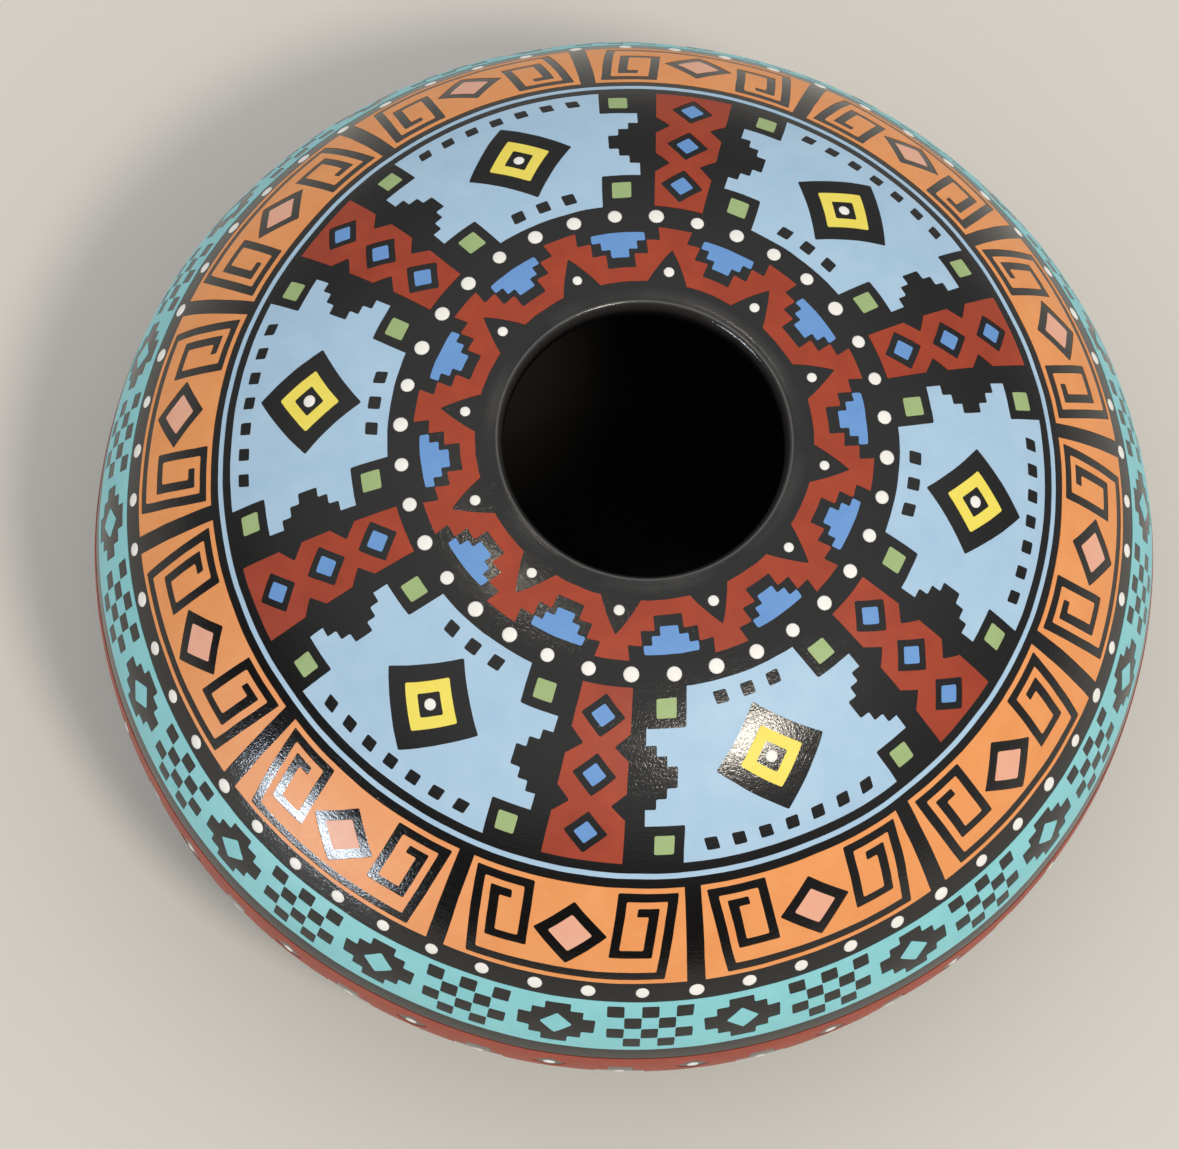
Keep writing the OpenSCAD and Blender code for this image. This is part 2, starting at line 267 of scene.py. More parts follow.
# In a Mix node sockets 2, 3 and output 0 are for numbers, and 6, 7 and output 2 for colours.
slip_tone = {"Factor": clouds, 6: linear("#0B0A0A"), 7: linear("#151312")}
slip_tone = add(tree, "ShaderNodeMix", slip_tone, data_type="RGBA").outputs[2]
smoke_tone = {"Factor": clouds, 6: linear("#0A0705"), 7: linear("#140E0A")}
smoke_tone = add(tree, "ShaderNodeMix", smoke_tone, data_type="RGBA").outputs[2]
skin = {"Factor": burnished, 6: smoke_tone, 7: slip_tone}
skin = add(tree, "ShaderNodeMix", skin, data_type="RGBA").outputs[2]

# The lip is painted grey: a fine line on its edge, patches of painted sheen beside it on top, and inside
# an even band of painted reflection of the room. The line and the zone of the patches each have the
# distances from the edge at which the grey is full and at which it ends, and its share of the colour.
edge_past_top = 0.0002
lip_edge = wall_length + lip_reach - lip_r + edge_past_top
grey_line_spread, painted_sheen_spread = (0.00005, 0.0004, 0.85), (0.0014, 0.0040, 0.28)
patch_low, patch_high = 0.42, 0.62
# Inside the lip the zone's grey is a painted reflection of the room, at this share.
painted_reflection_share = 0.8
from_edge = add(tree, "ShaderNodeMath", {0: along, 1: lip_edge}, operation="SUBTRACT").outputs[0]
from_edge = add(tree, "ShaderNodeMath", {0: from_edge}, operation="ABSOLUTE").outputs[0]
lip_grey_line, painted_sheen_zone = (
    add(
        tree,
        "ShaderNodeMapRange",
        {"Value": from_edge, "From Min": near, "From Max": far, "To Min": share, "To Max": 0.0},
        interpolation_type="SMOOTHSTEP",
    ).outputs[0]
    for near, far, share in (grey_line_spread, painted_sheen_spread)
)
patches = {"Value": clouds, "From Min": patch_low, "From Max": patch_high}
patches = add(tree, "ShaderNodeMapRange", patches).outputs[0]
on_top = add(tree, "ShaderNodeMath", {0: along, 1: lip_edge}, operation="LESS_THAN").outputs[0]
patches = add(tree, "ShaderNodeMix", {"Factor": on_top, 2: painted_reflection_share, 3: patches}).outputs[0]
grey_line_and_sheen = add(tree, "ShaderNodeMath", {0: painted_sheen_zone, 1: patches}, operation="MULTIPLY").outputs[0]
grey_line_and_sheen = add(tree, "ShaderNodeMath", {0: lip_grey_line, 1: grey_line_and_sheen}, operation="MAXIMUM").outputs[0]
grey_line_and_sheen = add(tree, "ShaderNodeMath", {0: grey_line_and_sheen, 1: burnished}, operation="MULTIPLY").outputs[0]
# The grey, part plain line and part painted sheen and reflection, mixed into the slip's colour.
skin = {"Factor": grey_line_and_sheen, 6: skin, 7: linear("#585756")}
skin = add(tree, "ShaderNodeMix", skin, data_type="RGBA").outputs[2]

sheen = {"Value": strokes, "From Min": noise_low, "From Max": noise_high}
sheen |= {"To Min": brightest_sheen, "To Max": dullest_sheen}
sheen = add(tree, "ShaderNodeMapRange", sheen).outputs[0]
rough = add(tree, "ShaderNodeMix", {"Factor": burnished, 2: smoked_roughness, 3: sheen}).outputs[0]
crinkled = {"Strength": crinkle_share, "Distance": crinkle_depth, "Height": crinkles}
crinkled = add(tree, "ShaderNodeBump", crinkled).outputs[0]
rubbed = {"Strength": stroke_share, "Distance": stroke_depth, "Height": strokes, "Normal": crinkled}
rubbed = add(tree, "ShaderNodeBump", rubbed).outputs[0]
for socket, value in (("Base Color", skin), ("Roughness", rough), ("Normal", rubbed)):
    tree.links.new(value, surface.inputs[socket])
surface.inputs["IOR"].default_value = slip_ior


def clay_piece(name, start, outside, inside, closed=True):
    """A piece of clay from its section: the burnished face from a length up the wall, then the rest."""
    points = list(outside) + list(inside)
    marks = [1.0] * len(outside) + [0.0] * len(inside)
    if closed:
        points.append(points[0])
        marks.append(marks[0])
    section = bpy.data.meshes.new(name + "_section")
    section.from_pydata([(r, 0, z) for r, z in points], [(i, i + 1) for i in range(len(points) - 1)], [])
    lengths = start + np.concatenate([[0], np.cumsum(np.linalg.norm(np.diff(points, axis=0), axis=1))])
    for label, values in (("burnished", marks), ("along", lengths)):
        section.attributes.new(label, "FLOAT", "POINT").data.foreach_set("value", values)
    ring_values = shaping_values | {"Steps Round": steps_round, "Material": slip}
    piece = grown(name, section, ring_of_clay, ring_values)
    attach(piece, "root")
    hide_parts(name.removeprefix("clay_"))


def joint(i, inner):
    """Length up the wall of the joint above coil i, at its outer or inner edge."""
    return slab_rise + i * coil_h + (-joint_shift if inner else joint_shift)


hollow_r = foot_r - foot_ring_w
hollow_sphere_r = (hollow_r**2 + hollow_depth**2) / (2 * hollow_depth)
hollow = [
    (r, hollow_depth - hollow_sphere_r + math.sqrt(hollow_sphere_r**2 - r**2))
    for r in np.linspace(0, hollow_r, 12)
]
floor_s = next(s for s in np.linspace(0, slab_rise, 400) if wall_point(s, wall_t)[1] > floor_t)
floor_r = wall_point(floor_s, wall_t)[0] - floor_corner
clay_piece(
    "clay_base_slab",
    -foot_r,
    hollow + burnished_face(0, joint(0, inner=False), segments=40),
    [wall_point(s, wall_t) for s in np.linspace(joint(0, inner=True), floor_s, 20)]
    + [(r, floor_t) for r in np.linspace(floor_r, 0, 12)],
    closed=False,
)

# Wall coils. Eight ropes of clay, each laid on the one below with a slanted overlap, pinched up, thinned and
# smoothed into a ring of wall. Slip and burnishing hide the joints on the outside.
finger_ridge = 0.0006


def finger_face(s0, s1, segments=14):
    """Points down the inside, with the low ridge that smoothing each rope with a finger leaves."""
    shares = np.linspace(1, 0, segments + 1)
    return [
        wall_point(s0 + share * (s1 - s0), wall_t + finger_ridge * math.sin(math.pi * share) ** 2)
        for share in shares
    ]


for i in range(1, coil_count + 1):
    clay_piece(
        f"clay_wall_coil_{i}",
        joint(i - 1, inner=False),
        burnished_face(joint(i - 1, inner=False), joint(i, inner=False)),
        finger_face(joint(i - 1, inner=True), joint(i, inner=True)),
    )

# Rim coil. The last rope, turned in and smoothed into the lip of the mouth: level on top, with a tight
# upper edge that runs into a steep inner face, a soft under edge, and bare of paint.
lip_fall = 0.0045
crease_depth, crease_at, crease_spread = 0.00012, 0.7, 0.13
burnish_end = 1.3 * math.pi
upper_c = crown_end + [lip_r - lip_reach, -lip_fall]
under_c = crown_end - [0, lip_fall]
upper_size = np.array([lip_r, lip_fall])
under_size = np.array([lip_reach, wall_t - lip_fall])


def lip_top(t):
    """A point at a share of the way in over the top, with the fine crease that the finger leaves there."""
    crease = crease_depth * math.exp(-(((t - crease_at) / crease_spread) ** 2))
    return (1 - t) * crown_end + t * (upper_c + [0, lip_fall]) - [0, crease]


def lip_edge_point(angle):
    """The point of the upper edge that faces in a direction."""
    facing = outward(angle)
    return upper_c + upper_size**2 * facing / np.linalg.norm(upper_size * facing)


def lip_under(angle):
    """A point at an angle round the under edge."""
    return under_c + under_size * outward(angle)


clay_piece(
    "clay_rim_coil",
    joint(coil_count, inner=False),
    burnished_face(joint(coil_count, inner=False), wall_length)
    + [lip_top(t) for t in np.linspace(0.1, 0.95, 12)]
    + [lip_edge_point(a) for a in np.linspace(math.pi / 2, math.pi, 15)]
    + [lip_under(a) for a in np.linspace(math.pi, burnish_end, 8)[1:]],
    [lip_under(a) for a in np.linspace(burnish_end, 1.5 * math.pi, 6)[1:]]
    + [wall_point(s, wall_t) for s in np.linspace(wall_length, joint(coil_count, inner=True), 8)[1:]],
)

# Paint. Clay and mineral colours brushed on the burnished wall in registers round the mouth, with bare black
# left between them. One sixth of the design is drawn flat, as angle round the pot and distance below the
# crown's upper end, and each colour is one thin coat, laid on the wall six times round.
bare_ring_w, collar_w, band_w = 0.0065, 0.014, 0.006
panel_w, orange_w, turquoise_w, hem_w = 0.040, 0.026, 0.019, 0.024
bar_w, pillar_w, line_w = 0.004, 0.015, 0.0013
panel_count, orange_count, hem_count = 6, 12, 24
corner_r, corner_limit = 0.0004, 0.4
mesh_step = 0.0022

collar_d = bare_ring_w - lip_reach
panel_d = collar_d + collar_w + band_w
orange_d = panel_d + panel_w + band_w
turquoise_d = orange_d + orange_w + band_w
hem_d = turquoise_d + turquoise_w + band_w
last_line_d = hem_d + hem_w + band_w / 2
sixth = math.tau / panel_count
design = []


def radius_at(d):
    """Radius of the wall at a distance below the crown's upper end."""
    return wall_point(wall_length - d)[0]


def span_of(width, d):
    """Angle that a width takes round the pot."""
    return width / radius_at(d)


def box(x0, x1, y0, y1):
    """A rectangle between two sides and two ends."""
    return [(x0, y0), (x1, y0), (x1, y1), (x0, y1)]


def diamond(size):
    """A square on its corner, as wide as it is high."""
    return [(-size / 2, 0), (0, -size / 2), (size / 2, 0), (0, size / 2)]


def triangle(base, height, skirt):
    """A triangle that stands on y = 0, its top towards the mouth, with a skirt below to run into a band."""
    return [(-base / 2, 0), (0, -height), (base / 2, 0), (base / 2, skirt), (-base / 2, skirt)]


def stepped(base, height, steps, skirt=0.0):
    """A stepped pyramid that stands in the same way, with or without a skirt."""
    left = []
    for k in range(steps):
        x = -base / 2 * (1 - k / steps)
        left += [(x, -height * k / steps if k else skirt), (x, -height * (k + 1) / steps)]
    return left + [(-x, y) for x, y in reversed(left)]


def stroke(path, width):
    """The outline of a brush stroke of even width, with mitred corners."""
    path = np.array(path, float)
    steps = np.diff(path, axis=0)
    steps /= np.linalg.norm(steps, axis=1)[:, None]
    across = np.stack([-steps[:, 1], steps[:, 0]], axis=1)
    mitres = np.concatenate([across[:1], across[:-1] + across[1:], across[-1:]])
    mitres /= np.linalg.norm(mitres, axis=1)[:, None]
    lengths = width / 2 / np.einsum("ij,ij->i", mitres, np.concatenate([across[:1], across]))
    edge = mitres * lengths[:, None]
    return [tuple(p) for p in np.concatenate([path + edge, (path - edge)[::-1]])]


def turned(outline, quarters):
    """An outline turned by quarter turns."""
    for _ in range(quarters):
        outline = [(-y, x) for x, y in outline]
    return outline


def brushed(outline):
    """An outline with the slightly rounded corners that a brush leaves."""
    soft = []
    for i, corner in enumerate(outline):
        corner = Vector(corner)
        ends = []
        for other in (outline[i - 1], outline[(i + 1) % len(outline)]):
            edge = Vector(other) - corner
            ends.append(corner + edge * min(corner_r / edge.length, corner_limit))
        soft += [ends[0], (ends[0] + 2 * corner + ends[1]) / 4, ends[1]]
    return soft


def paint(colour, turn, d, outline):
    """Lays a colour, or bare black, over the design: an outline with x round the pot and y down the wall."""
    design.append((colour, [(turn + x / radius_at(d + y), d + y) for x, y in brushed(outline)]))


def paint_field(colour, turn, span, d, width):
    """Lays a colour over a stretch of a register."""
    left, right = turn - span / 2, turn + span / 2
    design.append((colour, [(left, d), (right, d), (right, d + width), (left, d + width)]))


# The collar: stepped pyramids that point at the mouth, and teeth between them.
skirt = band_w / 4
pyramid_base, pyramid_h = 0.0195, 0.0105
core_base, core_h, core_lift = 0.0125, 0.0064, 0.0015
tooth_base, tooth_h = 0.0092, 0.0085
paint_field("red", 0, sixth, collar_d, collar_w)
for turn in (-sixth / 4, sixth / 4):
    paint(None, turn, collar_d + collar_w, stepped(pyramid_base, pyramid_h, steps=3, skirt=skirt))
    paint("cobalt", turn, collar_d + collar_w - core_lift, stepped(core_base, core_h, steps=3))
for turn in (0, sixth / 2):
    paint(None, turn, collar_d, turned(triangle(tooth_base, tooth_h, collar_d / 2), quarters=2))

# Sky blue panels: green squares in black corners, a nest of diamonds in the middle, stepped pyramids at the
# sides, and rows of small checks.
panel_mid_d = panel_d + panel_w / 2
pillar_span = span_of(pillar_w, panel_mid_d)
panel_span = sixth - pillar_span - 2 * span_of(bar_w, panel_mid_d)
nest = ((None, 0.026), ("yellow", 0.015), (None, 0.0075))
corner_block, green_square = 0.009, 0.0045
green_near, green_far = (corner_block - green_square) / 2, (corner_block + green_square) / 2
side_base, side_h = 0.0145, 0.0072
small_check, check_spacing, check_inset = 0.0030, 2.1, 0.0038
half_check = small_check / 2
paint_field("sky_blue", 0, panel_span, panel_d, panel_w)
for colour, size in nest:
    paint(colour, 0, panel_mid_d, diamond(size))
for side in (-1, 1):
    panel_edge = side * panel_span / 2
    for corner_d, down in ((panel_d, 1), (panel_d + panel_w, -1)):
        block = box(side * bar_w / 2, -side * corner_block, -down * skirt, down * corner_block)
        paint(None, panel_edge, corner_d, block)
        square = box(-side * green_near, -side * green_far, down * green_near, down * green_far)
        paint("green", panel_edge, corner_d, square)
    side_pyramid = stepped(side_base, side_h, steps=3, skirt=bar_w / 2)
    paint(None, panel_edge, panel_mid_d, turned(side_pyramid, quarters=3 if side > 0 else 1))
for row_d, last_check in ((panel_d + check_inset, 1), (panel_d + panel_w - check_inset, 3)):
    for k in range(-last_check, last_check + 1):
        x = k * check_spacing * small_check
        paint(None, 0, row_d, box(x - half_check, x + half_check, -half_check, half_check))

# Red pillars between them, with a file of diamonds and half diamonds at the sides.
pillar = sixth / 2
file_count, file_diamond, file_core = 3, 0.010, 0.0055
half_base, half_h = 0.0062, 0.0034
paint_field("red", pillar, pillar_span, panel_d, panel_w)
for k in range(file_count):
    file_d = panel_d + (k + 0.5) * panel_w / file_count
    paint(None, pillar, file_d, diamond(file_diamond))
    paint("cobalt", pillar, file_d, diamond(file_core))
for k in range(1, file_count):
    for side in (-1, 1):
        half_diamond = turned(triangle(half_base, half_h, bar_w / 4), quarters=1 if side < 0 else 3)
        paint(None, pillar + side * pillar_span / 2, panel_d + k * panel_w / file_count, half_diamond)

# A thin line, then orange panels: a pink diamond in a black one, between two square spirals on one base line.
paint_field("sky_blue", 0, sixth, orange_d - (band_w + line_w) / 2, line_w)
orange_mid_d = orange_d + orange_w / 2
orange_span = math.tau / orange_count - span_of(bar_w, orange_mid_d)
black_diamond, pink_diamond = 0.017, 0.010
spiral_gap, spiral_stroke = 0.0038, 0.0022
spiral_near, spiral_far = 0.0106, 0.0220
spiral_top, spiral_low, base_line = -0.0106, 0.0045, 0.0108
half_spiral = [
    (spiral_far, base_line),
    (spiral_far, spiral_top),
    (spiral_near, spiral_top),
    (spiral_near, spiral_low),
    (spiral_far - spiral_gap, spiral_low),
    (spiral_far - spiral_gap, spiral_top + spiral_gap),
    (spiral_near + spiral_gap, spiral_top + spiral_gap),
]
spirals = [(-x, y) for x, y in reversed(half_spiral)] + half_spiral
for turn in (0, sixth / 2):
    paint_field("orange", turn, orange_span, orange_d, orange_w)
    paint(None, turn, orange_mid_d, stroke(spirals, spiral_stroke))
    paint(None, turn, orange_mid_d, diamond(black_diamond))
    paint("pink", turn, orange_mid_d, diamond(pink_diamond))

# The turquoise register: blocks of checks between stepped diamonds.
turquoise_mid_d = turquoise_d + turquoise_w / 2
turquoise_units = 3
check, check_columns, check_rows = 0.0040, 5, 4
lozenge_w, lozenge_half_h, lozenge_core = 0.018, 0.0075, 0.0075
upper_half = stepped(lozenge_w, lozenge_half_h, steps=3)
lozenge = upper_half + [(x, -y) for x, y in reversed(upper_half)][1:-1]
paint_field("turquoise", 0, sixth, turquoise_d, turquoise_w)
for unit in range(turquoise_units):
    turn = (unit - 1) * sixth / turquoise_units
    for i in range(check_columns):
        for j in range(i % 2, check_rows, 2):
            x, y = (i - check_columns / 2) * check, (j - check_rows / 2) * check
            paint(None, turn, turquoise_mid_d, box(x, x + check, y, y + check))
    lozenge_turn = turn + sixth / (2 * turquoise_units)
    paint(None, lozenge_turn, turquoise_mid_d, lozenge)
    paint("turquoise", lozenge_turn, turquoise_mid_d, diamond(lozenge_core))

# The hem at the belly: black mountains, diamonds over the valleys, and a last thin line.
mountain_base, mountain_h = 0.024, 0.0175
valley_d, valley_diamond = hem_d + 0.0075, 0.0085
hem_units = hem_count // panel_count
paint_field("red", 0, sixth, hem_d, hem_w)
for unit in range(hem_units):
    turn = (unit - (hem_units - 1) / 2) * math.tau / hem_count
    paint(None, turn, hem_d + hem_w, stepped(mountain_base, mountain_h, steps=4, skirt=skirt))
    paint(None, turn + math.pi / hem_count, valley_d, diamond(valley_diamond))
paint_field("yellow", 0, sixth, last_line_d - line_w / 2, line_w)


def cut_design():
    """Triangles of the sixth for each colour, as angle and distance: on each spot the last coat shows."""
    edge, to_mm, mm_round = sixth / 2, 1000.0, 90.0
    hair, column_count, join_mm = 1e-9, 49, 1e-4
    corners, loops, coats = [], [], []
    for colour, outline in design:
        for lap in (-sixth, 0, sixth):
            angles = [a + lap for a, _ in outline]
            if min(angles) > edge - hair or max(angles) < hair - edge:
                continue
            loop = []
            for (a0, d0), (a1, d1) in zip(outline, outline[1:] + outline[:1]):
                length = math.hypot((a1 - a0) * radius_at((d0 + d1) / 2), d1 - d0)
                splits = max(1, math.ceil(length / mesh_step))
                for t in np.arange(splits) / splits:
                    loop.append(((a0 + t * (a1 - a0) + lap) * mm_round, (d0 + t * (d1 - d0)) * to_mm))
            (x0, y0), (x1, y1) = np.transpose(loop), np.transpose(np.roll(loop, -1, axis=0))
            clockwise = np.sum(x0 * y1 - x1 * y0) < 0
            loops.append(list(range(len(corners), len(corners) + len(loop))))
            coats.append(colour)
            corners += loop[::-1] if clockwise else loop
    rows = np.arange(collar_d, last_line_d + 2 * line_w, mesh_step) * to_mm
    columns = np.linspace(-edge, edge, column_count) * mm_round
    grid = len(corners)
    corners += [(x, y) for x in columns for y in rows]
    last = len(corners) - len(rows)
    seams = [(start + k, start + k + 1) for start in (grid, last) for k in range(len(rows) - 1)]
    points, _, faces, _, _, sources = delaunay_2d_cdt([Vector(c) for c in corners], seams, loops, 0, join_mm)
    flat = [(p.x / mm_round, p.y / to_mm, 0.0) for p in points]
    coat_faces = {}
    for face, source in zip(faces, sources):
        middle = sum(flat[k][0] for k in face) / len(face)
        if source and coats[max(source)] and abs(middle) < edge:
            coat_faces.setdefault(coats[max(source)], []).append(face[::-1])
    return flat, coat_faces


# The wall's outside as a line from the crown's upper end down, for the coats to follow.
line_step = 0.0005
line_points = [wall_point(wall_length - d) for d in np.arange(0, wall_length, line_step)]
line_edges = [(k, k + 1) for k in range(len(line_points) - 1)]
wall_line = bpy.data.objects.new("wall_line", bpy.data.meshes.new("wall_line"))
wall_line.data.from_pydata([(r, 0, z) for r, z in line_points], line_edges, [])
bpy.context.scene.collection.objects.link(wall_line)

# Lays a flat drawing on the wall: x is the angle round the pot and y the distance along the line. A slow
# wobble, different all the way round, keeps the brush's lines from being ruled.
wobble_length = 0.009
noise_middle = [0.5] * 3
laying_values = {"Wall Line": wall_line, "Hand Wobble": 0.00022}
laying_sockets = {"Wall Line": "Object", "Hand Wobble": "Float"}
lay_on_wall, given = new_tree("lay_on_wall", laying_sockets)
tree = lay_on_wall
drawn = add(tree, "GeometryNodeInputPosition").outputs[0]
drawn = add(tree, "ShaderNodeSeparateXYZ", {0: drawn}).outputs
ring_x = add(tree, "ShaderNodeMath", {0: drawn["X"]}, operation="COSINE").outputs[0]
ring_y = add(tree, "ShaderNodeMath", {0: drawn["X"]}, operation="SINE").outputs[0]
ring_z = add(tree, "ShaderNodeMath", {0: drawn["Y"], 1: middle_r}, operation="DIVIDE").outputs[0]
where = add(tree, "ShaderNodeCombineXYZ", {"X": ring_x, "Y": ring_y, "Z": ring_z}).outputs[0]
drift = {"Vector": where, "Scale": middle_r / wobble_length, "Detail": 2.0}
drift = add(tree, "ShaderNodeTexNoise", drift).outputs["Color"]
drift = add(tree, "ShaderNodeVectorMath", {0: drift, 1: noise_middle}, operation="SUBTRACT").outputs[0]
wobble = {0: drift, "Scale": given["Hand Wobble"]}
wobble = add(tree, "ShaderNodeVectorMath", wobble, operation="SCALE").outputs[0]
wobble = add(tree, "ShaderNodeSeparateXYZ", {0: wobble}).outputs
angle = {0: wobble["X"], 1: noise_stretch / middle_r, 2: drawn["X"]}
angle = add(tree, "ShaderNodeMath", angle, operation="MULTIPLY_ADD").outputs[0]
down = {0: wobble["Y"], 1: noise_stretch, 2: drawn["Y"]}
down = add(tree, "ShaderNodeMath", down, operation="MULTIPLY_ADD").outputs[0]
line = add(tree, "GeometryNodeObjectInfo", {"Object": given["Wall Line"]}).outputs["Geometry"]
line = add(tree, "GeometryNodeMeshToCurve", {0: line}).outputs[0]
on_line = add(tree, "GeometryNodeSampleCurve", {"Curves": line, "Length": down}, mode="LENGTH").outputs
slope = add(tree, "ShaderNodeSeparateXYZ", {0: on_line["Tangent"]}).outputs
sunk = add(tree, "ShaderNodeMath", {0: slope["Z"], 1: -1.0}, operation="MULTIPLY").outputs[0]
facing = add(tree, "ShaderNodeCombineXYZ", {"X": sunk, "Z": slope["X"]}).outputs[0]
on_wall, wall_normal = (
    add(tree, "ShaderNodeVectorRotate", {"Vector": vector, "Angle": angle}, rotation_type="Z_AXIS").outputs[0]
    for vector in (on_line["Position"], facing)
)
laid = add(
    tree,
    "GeometryNodeStoreNamedAttribute",
    {"Geometry": given["Geometry"], "Name": "wall_normal", "Value": wall_normal},
    data_type="FLOAT_VECTOR",
    domain="POINT",
).outputs[0]
laid = add(tree, "GeometryNodeSetPosition", {"Geometry": laid, "Position": on_wall}).outputs[0]
add(tree, "NodeGroupOutput", {0: laid})

# A coat of paint: the flat sixth repeated round the pot, laid on the wall, and given its thickness, with a
# little of it bedded in the clay.
sixth_gap = 4e-6
coat_values = shaping_values | laying_values | {"Repeats": panel_count, "Film": 0.00012, "Bed": 0.00004}
placing_sockets = laying_sockets | shaping_sockets | {"Material": "Material"}
coat_sockets = {"Repeats": "Int", "Film": "Float", "Bed": "Float"} | placing_sockets
coat_of_paint, given = new_tree("coat_of_paint", coat_sockets)
tree = coat_of_paint
pitch = add(tree, "ShaderNodeMath", {0: math.tau, 1: given["Repeats"]}, operation="DIVIDE").outputs[0]
pitch = add(tree, "ShaderNodeCombineXYZ", {"X": pitch}).outputs[0]
starts = add(tree, "GeometryNodeMeshLine", {"Count": given["Repeats"], "Offset": pitch}).outputs[0]
sixths = {"Points": starts, "Instance": given["Geometry"]}
sixths = add(tree, "GeometryNodeInstanceOnPoints", sixths).outputs[0]
coat = add(tree, "GeometryNodeRealizeInstances", {0: sixths}).outputs[0]
laying = {label: given[label] for label in laying_sockets} | {"Geometry": coat}
coat = add(tree, "GeometryNodeGroup", laying, node_tree=lay_on_wall).outputs[0]
coat = add(tree, "GeometryNodeMergeByDistance", {"Geometry": coat, "Distance": sixth_gap}).outputs[0]
normal_name = {"Name": "wall_normal"}
facing = add(tree, "GeometryNodeInputNamedAttribute", normal_name, data_type="FLOAT_VECTOR").outputs[0]
depth = add(tree, "ShaderNodeMath", {0: given["Bed"], 1: -1.0}, operation="MULTIPLY").outputs[0]
bed = add(tree, "ShaderNodeVectorMath", {0: facing, "Scale": depth}, operation="SCALE").outputs[0]
coat = add(tree, "GeometryNodeSetPosition", {"Geometry": coat, "Offset": bed}).outputs[0]
under = add(tree, "GeometryNodeFlipFaces", {0: coat}).outputs[0]
thick = add(tree, "ShaderNodeMath", {0: given["Bed"], 1: given["Film"]}, operation="ADD").outputs[0]
raised = {"Mesh": coat, "Offset Scale": thick, "Individual": False}
raised = add(tree, "GeometryNodeExtrudeMesh", raised, mode="FACES").outputs[0]
both = add(tree, "GeometryNodeJoinGeometry", {0: raised})
tree.links.new(under, both.inputs[0])
closed_film = {"Geometry": both.outputs[0], "Distance": seam_gap}
coat = add(tree, "GeometryNodeMergeByDistance", closed_film).outputs[0]
shaping = {label: given[label] for label in shaping_sockets} | {"Geometry": coat}
coat = add(tree, "GeometryNodeGroup", shaping, node_tree=hand_shaping).outputs[0]
finish_tree(tree, coat, given["Material"], sharp_angle)


def matte_paint(name, light, dark):
    """Clay and mineral colour brushed on in thin coats: nearly flat, a little cloudy, with a low sheen."""
    cloud_size, brush_size = 0.009, 0.0011
    smoothest, roughest = 0.40, 0.54
    brush_depth, brush_share = 0.00006, 0.25
    paint_ior = 1.4
    material = bpy.data.materials.new(name)
    material.use_nodes = True
    tree = material.node_tree
    surface = tree.nodes["Principled BSDF"]
    spot = add(tree, "ShaderNodeTexCoord").outputs["Object"]
    clouds = {"Vector": spot, "Scale": 1 / cloud_size, "Detail": 5.0, "Roughness": 0.6}
    clouds = add(tree, "ShaderNodeTexNoise", clouds).outputs[0]
    share = {"Value": clouds, "From Min": noise_low, "From Max": noise_high}
    share = add(tree, "ShaderNodeMapRange", share).outputs[0]
    colour = {"Factor": share, 6: linear(dark), 7: linear(light)}
    colour = add(tree, "ShaderNodeMix", colour, data_type="RGBA").outputs[2]
    brush = {"Vector": spot, "Scale": 1 / brush_size, "Detail": 3.0}
    brush = add(tree, "ShaderNodeTexNoise", brush).outputs[0]
    rough = {"Value": brush, "To Min": smoothest, "To Max": roughest}
    rough = add(tree, "ShaderNodeMapRange", rough).outputs[0]
    relief = {"Strength": brush_share, "Distance": brush_depth, "Height": brush}
    relief = add(tree, "ShaderNodeBump", relief).outputs[0]
    for socket, value in (("Base Color", colour), ("Roughness", rough), ("Normal", relief)):
        tree.links.new(value, surface.inputs[socket])
    surface.inputs["IOR"].default_value = paint_ior
    return material


colours = {
    "red": ("#AC4225", "#9C381E"),
    "sky_blue": ("#B2D1EA", "#A7C8E4"),
    "orange": ("#F4A463", "#EE9957"),
    "turquoise": ("#93D8DF", "#88D1D9"),
    "cobalt": ("#6FA1DE", "#6697D6"),
    "yellow": ("#F8E768", "#F4E057"),
    "green": ("#A7BF85", "#9DB67A"),
    "pink": ("#F2B89E", "#EEAD91"),
}
flat_points, coat_faces = cut_design()
for colour, (light, dark) in colours.items():
    used = sorted({k for face in coat_faces[colour] for k in face})
    number = {k: n for n, k in enumerate(used)}
    flat_faces = [[number[k] for k in face] for face in coat_faces[colour]]
    flat_coat = bpy.data.meshes.new(colour + "_flat")
    flat_coat.from_pydata([flat_points[k] for k in used], [], flat_faces)
    material = matte_paint(colour + "_matte_paint", light, dark)
    piece = grown(f"coat_of_{colour}", flat_coat, coat_of_paint, coat_values | {"Material": material})
    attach(piece, "root")
    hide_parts("paint_" + colour)

# White dots. Drops of thick white paint set down with the end of a stick, in rows in the black bands and one
# by one in the motifs, each a low round heap of a slightly different size.
band_dot, motif_dot, tooth_dot = 0.0034, 0.0028, 0.0024
tooth_dot_d, mountain_dot_d = collar_d + 0.0027, hem_d + 0.0145
smallest, largest = 0.92, 1.08
dot_values = {"Dot Height": 0.00022, "Seed": 7}

# Each row has its count, the place of its first dot as a share of a step, its distance and its diameter.
dot_rows = [
    (36, 0.5, panel_d - band_w / 2, band_dot),
    (60, 0.5, turquoise_d - band_w / 2, band_dot),
    (12, 0.0, tooth_dot_d, tooth_dot),
    (panel_count, 0.0, panel_mid_d, motif_dot),
    (hem_count, 0.0, valley_d, motif_dot),
    (hem_count, 0.5, mountain_dot_d, motif_dot),
]
dots, diameters = [], []
for count, first, d, diameter in dot_rows:
    for k in range(count):
        dots.append(((k + first) * math.tau / count, d, 0.0))
        diameters.append(diameter)
dot_places = bpy.data.meshes.new("dot_places")
dot_places.from_pydata(dots, [], [])
dot_places.attributes.new("diameter", "FLOAT", "POINT").data.foreach_set("value", diameters)

